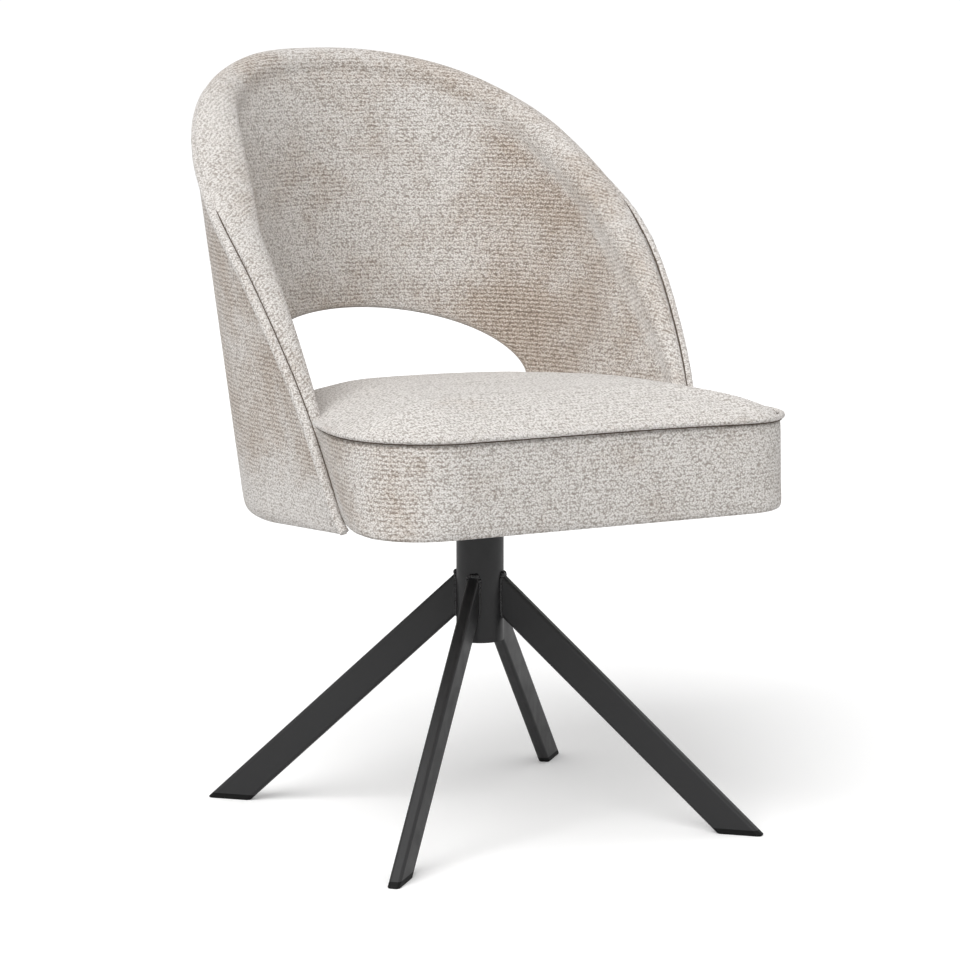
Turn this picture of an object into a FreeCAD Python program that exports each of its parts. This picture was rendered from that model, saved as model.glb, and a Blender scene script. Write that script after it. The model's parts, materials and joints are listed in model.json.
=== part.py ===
import FreeCAD, Part
import math
import os

os.makedirs("parts", exist_ok=True)

V = FreeCAD.Vector
UP = V(0, 0, 1)

# Swivel chair with an upholstered barrel back. Millimetres, +Z up, front at -Y.
# While drawing, the swivel axis is x = y = 0 and the floor is z = 0.

# Column and bearing sizes
column_radius = 27.0
column_wall = 2.5
column_tail = 27.7
plug_lip = 3.0
plug_sink = 1.5
plug_skirt = 12.0
plug_wall = 2.5
spindle_radius = 12.5
bush_clearance = 0.04
bush_flange = 2.0
bush_length = 28.0
lower_bush_rise = 55.0
race_height = 3.0
race_clearance = 0.3
race_overhang = 1.0
roller_radius = 2.0
roller_length = 7.0
roller_count = 16
roller_clearance = 0.05

# Leg sizes
leg_count = 4
leg_height = 36.0
leg_width = 14.0
leg_wall = 1.5
leg_corner = 4.0
leg_slope = 42.9
leg_reach = 306.0
leg_first_angle = 45.0
cap_height = 6.5
cap_edge_radius = 1.2
cap_plug_depth = 16.0
cap_clearance = 0.1
leg_overrun = 30.0

# Seat sizes
seat_bottom_z = 375.4
seam_height = 101.8
crown_height = 17.0
seat_front = 275.0
seat_half_width = 254.0
seat_corner = 66.0
seat_least_corner = 8.0
seat_side_bow = 0.12
crown_steps = ((0.0, 0.0), (0.42, 7.0), (0.72, 26.0), (0.92, 62.0), (1.0, 105.0))
fabric = 1.5
foam_gap = 0.2
border_round = 9.0
border_fold = 25.0
board_thickness = 15.0
board_inset = 2.0
dust_thickness = 1.0
dust_clearance = 0.5
dust_plate_gap = 2.0
seat_piping_radius = 3.0
piping_gap = 0.7

# Plate and fastener sizes
plate_side = 190.0
plate_thickness = 5.0
plate_corner = 12.0
bolt_pitch = 150.0
bolt_radius = 4.0
bolt_hole_radius = 4.5
bolt_head_radius = 7.2
bolt_head_height = 5.3
bolt_length = 18.0
washer_radius = 9.0
washer_thickness = 1.6
tee_barrel_radius = 5.5
tee_flange_radius = 11.0
tee_flange_thickness = 1.5
tee_barrel_length = 12.0
end_washer_radius = 19.0
end_screw_radius = 5.0
end_screw_depth = 22.0
end_screw_tip_gap = 2.0
end_screw_head_radius = 9.0
end_screw_head_height = 6.0
screw_clearance = 0.1

# Barrel back sizes: half width and centre of the plan grow in a straight line with height
back_width_low = 226.9
back_width_growth = 0.1376
back_centre_low = 93.4
back_centre_growth = -0.0282
back_ellipse = 1.105
back_top_z = 895.0
back_foot_z = 347.0
back_foot_bend_y = 100.0
back_foot_tip_rise = 14.0
wall_thickness = 38.0
tip_thickness = 4.0
tip_y = -108.0
blank_front_y = -150.0
seat_gap = 0.5
ply_share = (0.05, 0.34)
window_angle = 62.6
window_centre_y = 115.0
window_points = 12
window_rise = 86.5
window_fullness = 1.3
window_sill_above_seam = -6.0
window_corner = 8.0
window_toe = 0.08
window_cutter_ends = (45.0, 365.0)
rim_piping_radius = 3.5
rim_start_y = -95.0
rim_front_steps = 10
rim_rear_steps = 16
rim_search_steps = 30
rim_points = ((-118.0, 340.0), (-60.0, 472.0), (0.0, 562.0), (70.0, 645.0),
              (150.0, 709.0), (260.0, 787.0), (430.0, 876.0))
back_screw_angles = (20.0, 55.0, 90.0, 125.0, 160.0)
back_screw_radius = 3.5
back_screw_head_radius = 6.0
back_screw_head_height = 3.0
back_screw_bite = 32.0
back_screw_sink = 1.2

# Heights that follow from the sizes above
leg_turn = math.radians(leg_slope)
leg_meets_z = (leg_reach - column_radius) * math.tan(leg_turn)
column_bottom_z = leg_meets_z - leg_height / 2 / math.cos(leg_turn) - column_tail
lower_bush_z = column_bottom_z + lower_bush_rise
board_bottom_z = seat_bottom_z + fabric
board_top_z = board_bottom_z + board_thickness
seam_z = seat_bottom_z + seam_height
plate_bottom_z = board_bottom_z - plate_thickness
upper_race_z = plate_bottom_z - race_height
race_top_z = upper_race_z - 2 * roller_radius - roller_clearance
lower_race_z = race_top_z - race_height
column_top_z = lower_race_z - bush_flange
bore_radius = column_radius - column_wall
bush_bore = spindle_radius + bush_clearance
roller_ring_radius = (bush_bore + race_overhang + bore_radius) / 2
spindle_end_z = lower_bush_z - race_clearance


def cylinder(radius, height, z, x=0.0, y=0.0):
    return Part.makeCylinder(radius, height, V(x, y, z), UP)


def ring(outer, inner, height, z):
    return cylinder(outer, height, z).cut(cylinder(inner, height, z))


def square_points(pitch):
    half = pitch / 2
    return [(sx * half, sy * half) for sx in (-1, 1) for sy in (-1, 1)]


def hexagon(radius, height, z, x, y):
    corners = []
    for k in range(7):
        angle = math.radians(60 * k)
        corners.append(V(x + radius * math.cos(angle), y + radius * math.sin(angle), z))
    return Part.Face(Part.makePolygon(corners)).extrude(V(0, 0, height))


def rounded_box(width, depth, height, radius, z):
    box = Part.makeBox(width, depth, height, V(-width / 2, -depth / 2, z))
    uprights = [e for e in box.Edges if abs(e.tangentAt(e.FirstParameter).z) > 0.99]
    return box.makeFillet(radius, uprights)


# Column, bushes and bearing
def column_tube():
    return ring(column_radius, bore_radius, column_top_z - column_bottom_z, column_bottom_z)


def column_plug():
    lip_z = column_bottom_z + plug_sink
    lip = cylinder(bore_radius, plug_lip, lip_z)
    skirt = ring(bore_radius, bore_radius - plug_wall, plug_skirt, lip_z + plug_lip)
    return lip.fuse(skirt).removeSplitter()


def upper_bush():
    barrel = ring(bore_radius, bush_bore, bush_length, column_top_z - bush_length)
    flange = ring(column_radius, bush_bore, bush_flange, column_top_z)
    return barrel.fuse(flange).removeSplitter()


def lower_bush():
    return ring(bore_radius, bush_bore, bush_length, lower_bush_z)


def race(z):
    return ring(bore_radius, bush_bore + race_overhang, race_height, z)


def bearing_rollers():
    rollers = []
    start = roller_ring_radius - roller_length / 2
    for k in range(roller_count):
        angle = 2 * math.pi * k / roller_count
        outward = V(math.cos(angle), math.sin(angle), 0)
        centre = outward * start + V(0, 0, race_top_z + roller_radius)
        rollers.append(Part.makeCylinder(roller_radius, roller_length, centre, outward))
    return Part.makeCompound(rollers)


# Legs, drawn along +X and then turned about the column
def leg_bar(height, width, radius):
    length = leg_reach / math.cos(leg_turn) + 2 * leg_overrun
    bar = Part.makeBox(length, width, height, V(-leg_overrun, -width / 2, -height / 2))
    long_edges = [e for e in bar.Edges if abs(e.tangentAt(e.FirstParameter).x) > 0.99]
    bar = bar.makeFillet(radius, long_edges)
    bar.rotate(V(0, 0, 0), V(0, 1, 0), leg_slope)
    bar.translate(V(0, 0, leg_reach * math.tan(leg_turn)))
    return bar


def slab(low, high):
    reach = 2 * leg_reach
    return Part.makeBox(reach, reach, high - low, V(-reach / 2 + leg_reach / 2, -reach / 2, low))


def leg_tube():
    outer = leg_bar(leg_height, leg_width, leg_corner)
    inner = leg_bar(leg_height - 2 * leg_wall, leg_width - 2 * leg_wall, leg_corner - leg_wall)
    tube = outer.cut(inner).common(slab(cap_height, column_top_z))
    column = cylinder(column_radius, column_top_z, 0)
    side = 4 * column_radius
    behind = Part.makeBox(side, side, column_top_z, V(-side, -side / 2, 0))
    tube = tube.cut(column.fuse(behind))
    return max(tube.Solids, key=lambda s: s.Volume)


def foot_cap():
    shrink = leg_wall + cap_clearance
    plug_corner = leg_corner - shrink
    sole = leg_bar(leg_height, leg_width, leg_corner).common(slab(0, cap_height))
    rim = [e for e in sole.Edges if e.BoundBox.ZMax < cap_clearance]
    sole = sole.makeFillet(cap_edge_radius, rim)
    plug = leg_bar(leg_height - 2 * shrink, leg_width - 2 * shrink, plug_corner)
    plug = plug.common(slab(cap_height, cap_height + cap_plug_depth))
    return sole.fuse(plug).removeSplitter()


# Plan outlines of the barrel back at one height
def back_half_width(z):
    return back_width_low + back_width_growth * (z - seat_bottom_z)


def back_centre(z):
    return back_centre_low + back_centre_growth * (z - seat_bottom_z)


def arc_edge(half_width, depth, centre_y, z, start, stop):
    points = []
    for angle in (start, (start + stop) / 2, stop):
        turn = math.radians(angle)
        points.append(V(half_width * math.cos(turn), centre_y + depth * math.sin(turn), z))
    ellipse = Part.Ellipse(V(0, centre_y, z), depth, half_width)
    ellipse.rotate(FreeCAD.Placement(V(0, centre_y, z), FreeCAD.Rotation(UP, 90)))
    first = ellipse.parameter(points[0])
    last = ellipse.parameter(points[2])
    return Part.ArcOfEllipse(ellipse, first, last).toShape()


def plan_line(z, share):
    # share 0 is the outer face of the wall and 1 is the inner face
    wide = back_half_width(z) - share * wall_thickness
    deep = back_ellipse * back_half_width(z) - share * wall_thickness
    centre = back_centre(z)
    lean = (wall_thickness - tip_thickness) * share / (centre - tip_y)
    front = wide + lean * (centre - blank_front_y)
    right = V(front, blank_front_y, z)
    left = V(-front, blank_front_y, z)
    edges = [Part.makeLine(right, V(wide, centre, z)),
             arc_edge(wide, deep, centre, z, 0, 90),
             arc_edge(wide, deep, centre, z, 90, 180),
             Part.makeLine(V(-wide, centre, z), left)]
    return edges, right, left


def blank_solid(share, low, high):
    wires = []
    for z in (low, high):
        edges, right, left = plan_line(z, share)
        wires.append(Part.Wire(edges + [Part.makeLine(left, right)]))
    return Part.makeLoft(wires, True, True)


rim_curve = Part.BSplineCurve()
rim_curve.interpolate(Points=[V(0, y, z) for y, z in rim_points],
                      Parameters=[y for y, z in rim_points])


def rim_height(y):
    return rim_curve.value(y).z


def side_prism(edges):
    face = Part.Face(Part.Wire(edges))
    span = 2 * back_half_width(back_top_z)
    face.translate(V(-span, 0, 0))
    return face.extrude(V(2 * span, 0, 0))


def keep_prism():
    # side view of the back: the rim above, and a foot line that rises towards the front tips
    first = rim_curve.value(rim_points[0][0])
    last = rim_curve.value(rim_points[-1][0])
    front_floor = V(0, first.y, 0)
    rear_floor = V(0, last.y, 0)
    below_rim = side_prism([rim_curve.toShape(), Part.makeLine(last, rear_floor),
                            Part.makeLine(rear_floor, front_floor),
                            Part.makeLine(front_floor, first)])
    foot = [front_floor, V(0, first.y, back_foot_z + back_foot_tip_rise),
            V(0, back_foot_bend_y, back_foot_z), V(0, last.y, back_foot_z), rear_floor, front_floor]
    return below_rim.cut(side_prism(Part.makePolygon(foot).Edges))


def window_wire(y):
    # the outline seen from the seat's middle: its width grows with the distance
    sill = seam_z + window_sill_above_seam
    points = []
    for k in range(window_points + 1):
        turn = math.pi * k / window_points
        aside = math.radians(window_angle) * math.cos(turn)
        x = (y - window_centre_y) * math.tan(aside)
        lift = abs(math.sin(turn)) ** window_fullness
        points.append(V(x, y, sill + window_corner + (window_rise - window_corner) * lift))
    arch = Part.BSplineCurve()
    arch.interpolate(points)
    right, left = points[0], points[-1]
    down = V(0, 0, -window_corner)
    toe_right = right + down - V(window_toe * right.x, 0, 0)
    toe_left = left + down - V(window_toe * left.x, 0, 0)
    edges = [arch.toShape(), Part.makeLine(left, toe_left),
             Part.makeLine(toe_left, toe_right), Part.makeLine(toe_right, right)]
    return Part.Wire(edges)


def window_cutter():
    # widens outwards, so that the opening's edge stays square to the curved wall
    ends = [window_wire(window_centre_y + away) for away in window_cutter_ends]
    return Part.makeLoft(ends, True, True)


def wall_layer(outer_share, inner_share, keep, window):
    outer = blank_solid(outer_share, back_foot_z, back_top_z)
    inner = blank_solid(inner_share, back_foot_z, back_top_z)
    layer = outer.cut(inner).common(keep).cut(window)
    return max(layer.Solids, key=lambda s: s.Volume)


def rim_path():
    # points on the outer face, from the right tip to the top of the back
    points = []
    for k in range(rim_front_steps):
        y = rim_start_y + (back_centre_low - rim_start_y) * k / rim_front_steps
        z = rim_height(y)
        points.append(V(back_half_width(z), y, z))
    for k in range(rim_rear_steps):
        turn = math.pi / 2 * (k + 0.5) / rim_rear_steps
        z = back_top_z
        for _ in range(rim_search_steps):
            wide = back_half_width(z)
            y = back_centre(z) + back_ellipse * wide * math.sin(turn)
            z = (z + rim_height(y)) / 2
        points.append(V(wide * math.cos(turn), y, z))
    return points


def cord(points, radius):
    circles = []
    for k in range(len(points)):
        along = points[min(k + 1, len(points) - 1)] - points[max(k - 1, 0)]
        circles.append(Part.Wire(Part.makeCircle(radius, points[k], along)))
    return Part.makeLoft(circles, True, True)


def rim_piping():
    half = []
    for point in rim_path():
        along = rim_curve.tangent(point.y)[0]
        above = V(0, -along.z, along.y) * (rim_piping_radius + piping_gap)
        half.append(point + above)
    return cord(half + [V(-p.x, p.y, p.z) for p in reversed(half)], rim_piping_radius)


def back_screws(clearance=0.0):
    z = board_bottom_z + board_thickness / 2
    screws = []
    for angle in back_screw_angles:
        turn = math.radians(angle)
        share = ply_share[0] * wall_thickness
        wide = back_half_width(z) - share
        deep = back_ellipse * back_half_width(z) - share
        start = V(wide * math.cos(turn), back_centre(z) + deep * math.sin(turn), z)
        inward = V(-math.cos(turn) / wide, -math.sin(turn) / deep, 0)
        inward.normalize()
        start = start + inward * back_screw_sink
        length = wall_thickness - share + seat_gap + board_inset + back_screw_bite
        shank = Part.makeCylinder(back_screw_radius + clearance, length, start, inward)
        head = Part.makeCylinder(back_screw_head_radius + clearance,
                                 back_screw_head_height, start, inward)
        screws.append(shank.fuse(head).removeSplitter())
    return Part.makeCompound(screws)


# Seat outline at one height; the rear follows the inner face of the back
def seat_wire(z, inset):
    wide = seat_half_width - inset
    front = -seat_front + inset
    radius = max(seat_corner - inset, seat_least_corner)
    level = min(z, seam_z)
    rear_wide = back_half_width(level) - wall_thickness - seat_gap - inset
    rear_deep = back_ellipse * back_half_width(level) - wall_thickness - seat_gap - inset
    tip_wide = back_half_width(level) - tip_thickness - seat_gap - inset
    centre = back_centre(level)
    side_y = front + radius
    diagonal = radius * math.sqrt(0.5)
    right = []
    right.append(Part.makeLine(V(0, front, z), V(wide - radius, front, z)))
    right.append(Part.Arc(V(wide - radius, front, z),
                          V(wide - radius + diagonal, side_y - diagonal, z),
                          V(wide, side_y, z)).toShape())
    bow = (wide + tip_wide) / 2 + (wide - tip_wide) * seat_side_bow
    right.append(Part.Arc(V(wide, side_y, z), V(bow, (side_y + tip_y) / 2, z),
                          V(tip_wide, tip_y, z)).toShape())
    right.append(Part.makeLine(V(tip_wide, tip_y, z), V(rear_wide, centre, z)))
    right.append(arc_edge(rear_wide, rear_deep, centre, z, 0, 90))
    left = []
    left.append(arc_edge(rear_wide, rear_deep, centre, z, 90, 180))
    left.append(Part.makeLine(V(-rear_wide, centre, z), V(-tip_wide, tip_y, z)))
    left.append(Part.Arc(V(-tip_wide, tip_y, z), V(-bow, (side_y + tip_y) / 2, z),
                         V(-wide, side_y, z)).toShape())
    left.append(Part.Arc(V(-wide, side_y, z),
                         V(-(wide - radius) - diagonal, side_y - diagonal, z),
                         V(-(wide - radius), front, z)).toShape())
    left.append(Part.makeLine(V(-(wide - radius), front, z), V(0, front, z)))
    return Part.Wire(right + left)


def seat_block(levels):
    return Part.makeLoft([seat_wire(z, inset) for z, inset in levels], True, True)


def seat_slab(low, high, inset):
    return seat_block([(low, inset), (high, inset)])


def border_cover():
    middle = border_round * (1 - math.sqrt(0.5))
    outer = seat_block([(seat_bottom_z, border_round), (seat_bottom_z + middle, middle),
                        (seat_bottom_z + border_round, 0), (seam_z, 0)])
    low = board_bottom_z
    inner = seat_block([(low, border_round), (low + middle, middle + fabric),
                        (low + border_round, fabric), (seam_z, fabric)])
    mouth = seat_slab(seat_bottom_z - fabric, low + fabric, border_fold)
    return outer.cut(inner).cut(mouth)


def crown(base_z, height, inset):
    return seat_block([(base_z + share * height, inset + inward) for share, inward in crown_steps])


def top_cover():
    outer = crown(seam_z, crown_height, 0.0)
    inner = crown(seam_z, crown_height - fabric, fabric)
    return outer.cut(inner)


def seat_board(screw_holes):
    middle = border_round * (1 - math.sqrt(0.5))
    low = board_bottom_z
    board = seat_block([(low, border_round + board_inset), (low + middle, middle + board_inset),
                        (low + border_round, board_inset), (board_top_z, board_inset)])
    for x, y in square_points(bolt_pitch):
        board = board.cut(cylinder(tee_barrel_radius, board_thickness, low, x, y))
        board = board.cut(cylinder(tee_flange_radius, tee_flange_thickness,
                                   board_top_z - tee_flange_thickness, x, y))
    return board.cut(screw_holes)


def seat_foam():
    inset = fabric + foam_gap
    body = seat_slab(board_top_z, seam_z, inset)
    return body.fuse(crown(seam_z, crown_height - inset, inset)).removeSplitter()


def dust_cover():
    sheet = seat_slab(seat_bottom_z, seat_bottom_z + dust_thickness, border_fold + dust_clearance)
    side = plate_side + 2 * dust_plate_gap
    corner = V(-side / 2, -side / 2, seat_bottom_z - dust_thickness)
    return sheet.cut(Part.makeBox(side, side, 3 * dust_thickness, corner))


def seat_piping():
    # runs round the front of the seat, from one tip of the back to the other
    edges = seat_wire(seam_z, -seat_piping_radius - piping_gap).Edges
    half = [V(edges[0].valueAt(edges[0].FirstParameter))]
    for edge, steps in ((edges[1], 9), (edges[2], 4)):
        first = edge.FirstParameter
        stride = (edge.LastParameter - first) / steps
        start = 0 if not (edge.valueAt(first) - half[-1]).Length < 0.01 else 1
        half += [edge.valueAt(first + stride * k) for k in range(start, steps + 1)]
    left = [V(-p.x, p.y, p.z) for p in reversed(half[1:])]
    return cord(left + half, seat_piping_radius)


# Swivel plate, spindle and fasteners
def swivel_plate():
    plate = rounded_box(plate_side, plate_side, plate_thickness, plate_corner, plate_bottom_z)
    plate = plate.cut(cylinder(spindle_radius, plate_thickness, plate_bottom_z))
    for x, y in square_points(bolt_pitch):
        plate = plate.cut(cylinder(bolt_hole_radius, plate_thickness, plate_bottom_z, x, y))
    return plate


def spindle():
    length = board_bottom_z - spindle_end_z
    return cylinder(spindle_radius, length, spindle_end_z).cut(
        cylinder(end_screw_radius, end_screw_depth, spindle_end_z))


def end_washer():
    return ring(end_washer_radius, end_screw_radius + screw_clearance, race_height,
                spindle_end_z - race_height)


def end_screw():
    bottom = spindle_end_z - race_height
    head = hexagon(end_screw_head_radius, end_screw_head_height,
                   bottom - end_screw_head_height, 0, 0)
    length = race_height + end_screw_depth - end_screw_tip_gap
    shank = cylinder(end_screw_radius, length, bottom)
    return head.fuse(shank).removeSplitter()


def plate_bolts():
    bolts = []
    seat_z = plate_bottom_z - washer_thickness
    for x, y in square_points(bolt_pitch):
        head = hexagon(bolt_head_radius, bolt_head_height, seat_z - bolt_head_height, x, y)
        shank = cylinder(bolt_radius, bolt_length, seat_z, x, y)
        bolts.append(head.fuse(shank).removeSplitter())
    return Part.makeCompound(bolts)


def plate_washers():
    washers = []
    for x, y in square_points(bolt_pitch):
        disc = cylinder(washer_radius, washer_thickness, plate_bottom_z - washer_thickness, x, y)
        washers.append(disc.cut(cylinder(bolt_hole_radius, washer_thickness,
                                         plate_bottom_z - washer_thickness, x, y)))
    return Part.makeCompound(washers)


def tee_nuts():
    nuts = []
    for x, y in square_points(bolt_pitch):
        flange = cylinder(tee_flange_radius, tee_flange_thickness,
                          board_top_z - tee_flange_thickness, x, y)
        barrel = cylinder(tee_barrel_radius, tee_barrel_length, board_top_z - tee_barrel_length, x, y)
        bore = cylinder(bolt_radius, tee_barrel_length, board_top_z - tee_barrel_length, x, y)
        nuts.append(flange.fuse(barrel).cut(bore).removeSplitter())
    return Part.makeCompound(nuts)


def chair_parts():
    parts = {
        "column_tube": column_tube(),
        "column_bottom_plug": column_plug(),
        "upper_bush": upper_bush(),
        "lower_bush": lower_bush(),
        "lower_race": race(lower_race_z),
        "bearing_rollers": bearing_rollers(),
        "upper_race": race(upper_race_z),
        "spindle": spindle(),
        "swivel_plate": swivel_plate(),
        "end_washer": end_washer(),
        "end_screw": end_screw(),
        "plate_bolts": plate_bolts(),
        "plate_washers": plate_washers(),
        "tee_nuts": tee_nuts(),
    }
    names = ("rear_right", "rear_left", "front_left", "front_right")
    tube = leg_tube()
    cap = foot_cap()
    for k, name in enumerate(names):
        angle = leg_first_angle + k * 360.0 / leg_count
        for kind, shape in (("leg_", tube), ("foot_cap_", cap)):
            turned = shape.copy()
            turned.rotate(V(0, 0, 0), UP, angle)
            parts[kind + name] = turned
    holes = back_screws(screw_clearance)
    keep = keep_prism()
    window = window_cutter()
    ply_outer, ply_inner = ply_share
    cover_share = fabric / wall_thickness
    parts["back_outer_cover"] = wall_layer(0.0, ply_outer, keep, window)
    parts["back_ply_shell"] = wall_layer(ply_outer, ply_inner, keep, window).cut(holes)
    parts["back_foam"] = wall_layer(ply_inner, 1 - cover_share, keep, window).cut(holes)
    parts["back_inner_cover"] = wall_layer(1 - cover_share, 1.0, keep, window).cut(holes)
    parts["back_rim_piping"] = rim_piping()
    parts["back_screws"] = back_screws()
    parts["seat_board"] = seat_board(holes)
    parts["seat_foam"] = seat_foam()
    parts["seat_border_cover"] = border_cover().cut(holes)
    parts["seat_top_cover"] = top_cover()
    parts["seat_piping"] = seat_piping()
    parts["dust_cover"] = dust_cover()
    return parts


# The origin goes to the middle of the footprint, on the floor
parts = chair_parts()
whole = FreeCAD.BoundBox()
for shape in parts.values():
    whole.add(shape.optimalBoundingBox(False, False))
middle = V(0, -(whole.YMin + whole.YMax) / 2, 0)
for name, shape in parts.items():
    shape.translate(middle)
    shape.exportStep("parts/" + name + ".step")
    print(name, len(shape.Solids), shape.isValid(), round(shape.Volume / 1000, 1))
print("swivel axis y", round(middle.y, 3))
print("size", round(whole.XLength, 1), round(whole.YLength, 1), round(whole.ZLength, 1))
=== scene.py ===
import json
import math

import bmesh
import bpy
import numpy as np
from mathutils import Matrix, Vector


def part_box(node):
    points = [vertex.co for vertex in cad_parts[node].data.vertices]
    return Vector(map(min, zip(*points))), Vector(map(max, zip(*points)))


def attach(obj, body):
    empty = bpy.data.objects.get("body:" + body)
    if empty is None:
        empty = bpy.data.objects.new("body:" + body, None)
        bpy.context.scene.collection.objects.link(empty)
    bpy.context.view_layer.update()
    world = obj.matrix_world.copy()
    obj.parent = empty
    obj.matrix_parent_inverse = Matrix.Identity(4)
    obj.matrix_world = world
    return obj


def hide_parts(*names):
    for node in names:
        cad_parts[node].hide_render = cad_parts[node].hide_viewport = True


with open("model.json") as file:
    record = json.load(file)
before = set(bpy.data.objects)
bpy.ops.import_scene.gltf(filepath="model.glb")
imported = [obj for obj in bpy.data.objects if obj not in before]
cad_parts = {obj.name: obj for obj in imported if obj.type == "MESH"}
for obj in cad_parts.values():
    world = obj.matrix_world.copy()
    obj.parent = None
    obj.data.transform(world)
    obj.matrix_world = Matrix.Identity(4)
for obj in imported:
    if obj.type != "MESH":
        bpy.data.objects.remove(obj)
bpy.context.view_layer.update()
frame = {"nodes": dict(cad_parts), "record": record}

columnLow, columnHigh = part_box("column_tube")
axisY = (columnLow[1] + columnHigh[1]) / 2      # the swivel axis is x = 0, y = axisY


# small helpers

def linearColour(text):
    out = []
    for k in (1, 3, 5):
        c = int(text[k:k + 2], 16) / 255
        out.append(c / 12.92 if c <= 0.04045 else ((c + 0.055) / 1.055) ** 2.4)
    return (*out, 1.0)


def addNode(tree, kind, inputs=None, **settings):
    node = tree.nodes.new(kind)
    for key, value in settings.items():
        setattr(node, key, value)
    for key, value in (inputs or {}).items():
        if isinstance(value, bpy.types.NodeSocket):
            tree.links.new(value, node.inputs[key])
        else:
            node.inputs[key].default_value = value
    return node


def maths(tree, operation, *values):
    return addNode(tree, "ShaderNodeMath", dict(enumerate(values)), operation=operation).outputs[0]


def noise(tree, place, scale, detail, roughness=0.5, distortion=0.0):
    values = {"Vector": place, "Scale": scale, "Detail": detail, "Roughness": roughness}
    values["Distortion"] = distortion
    return addNode(tree, "ShaderNodeTexNoise", values).outputs["Fac"]


def mapRange(tree, value, low, high, first=0.0, last=1.0, **settings):
    values = {0: value, 1: low, 2: high, 3: first, 4: last}
    return addNode(tree, "ShaderNodeMapRange", values, **settings).outputs[0]


def mixColour(tree, share, one, two):
    return addNode(tree, "ShaderNodeMix", {0: share, 6: one, 7: two}, data_type="RGBA").outputs[2]


def bumpNormal(tree, shader, strength, distance, height):
    bump = addNode(tree, "ShaderNodeBump", {"Strength": strength, "Distance": distance, "Height": height})
    tree.links.new(bump.outputs[0], shader.inputs["Normal"])


def objectPlace(tree):
    return addNode(tree, "ShaderNodeTexCoord").outputs["Object"]


def meshObject(name, verts, faces, edges=()):
    mesh = bpy.data.meshes.new(name)
    mesh.from_pydata([tuple(v) for v in verts], [tuple(e) for e in edges], [tuple(f) for f in faces])
    mesh.update()
    obj = bpy.data.objects.new(name, mesh)
    bpy.context.scene.collection.objects.link(obj)
    mesh.polygons.foreach_set("use_smooth", [True] * len(mesh.polygons))
    return obj


def pathObject(name, points, closed=False):
    edges = [(k, k + 1) for k in range(len(points) - 1)]
    if closed:
        edges.append((len(points) - 1, 0))
    return meshObject(name, points, [], edges)


def tidyNormals(obj, merge=0.00003):
    work = bmesh.new()
    work.from_mesh(obj.data)
    bmesh.ops.remove_doubles(work, verts=work.verts, dist=merge)
    bmesh.ops.dissolve_degenerate(work, dist=merge, edges=work.edges)
    bmesh.ops.recalc_face_normals(work, faces=work.faces)
    work.to_mesh(obj.data)
    work.free()
    obj.data.update()


def bakeModifiers(obj):
    graph = bpy.context.evaluated_depsgraph_get()
    made = bpy.data.meshes.new_from_object(obj.evaluated_get(graph))
    obj.modifiers.clear()
    obj.data = made
    made.name = obj.name
    return obj


def readVectors(mesh, key="co"):
    flat = np.empty(len(mesh.vertices) * 3)
    mesh.vertices.foreach_get(key, flat)
    return flat.reshape(-1, 3)


def pointAttribute(mesh, name, values):
    kind, key = ("FLOAT", "value") if values.ndim == 1 else ("FLOAT_VECTOR", "vector")
    mesh.attributes.new(name, kind, "POINT").data.foreach_set(key, values.ravel())


def ramp(values, low, high):
    t = np.clip((values - low) / (high - low), 0, 1)
    return t * t * (3 - 2 * t)


def giveMaterial(obj, material):
    obj.data.materials.clear()
    obj.data.materials.append(material)


def nodeMaterial(nodeName, material):
    obj = frame["nodes"][nodeName]
    if not obj.material_slots:
        obj.data.materials.append(material)
    for k in range(len(obj.material_slots)):
        obj.material_slots[k].material = material


# materials

def newMaterial(name):
    material = bpy.data.materials.new(name)
    material.use_nodes = True
    tree = material.node_tree
    tree.nodes.clear()
    out = addNode(tree, "ShaderNodeOutputMaterial")
    shader = addNode(tree, "ShaderNodeBsdfPrincipled")
    tree.links.new(shader.outputs[0], out.inputs[0])
    return material, tree, shader


chenille = {
    "pale": "#E6E2DE",          # pile brushed up
    "deep": "#C2B4A7",          # pile brushed down
    "pit": "#6F6154",           # painted shade in the hollows between the tufts
    "tip": "#F7F5F2",           # painted highlight on the lit ends of the yarn
    "rowPitch": 0.0048,         # weft rows
    "rowShow": (0.11, 0.05),    # how far the rows stand out where the pile lies, and everywhere
    "wander": 0.0036,           # how far a row strays
    "wanderScale": 75.0,
    "tuft": 0.0019,             # yarn bumps along a row
    "stretch": 0.8,             # tufts are longer along the row
    "fuzzScale": 620.0,         # loose fibres
    "patch": 0.085,             # size of the brushed patches
    "patchGain": 1.5,
    "raggedScale": 110.0,       # ragged edges of the patches
    "raggedGain": 0.7,
    "hollowShow": (0.12, 0.68), # how dark the painted shade in the hollows gets where the pile lies, and everywhere
    "depth": 0.0017,
    "bump": 0.8,
    "roughness": 0.93,
    "sheen": 0.22,
}


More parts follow.
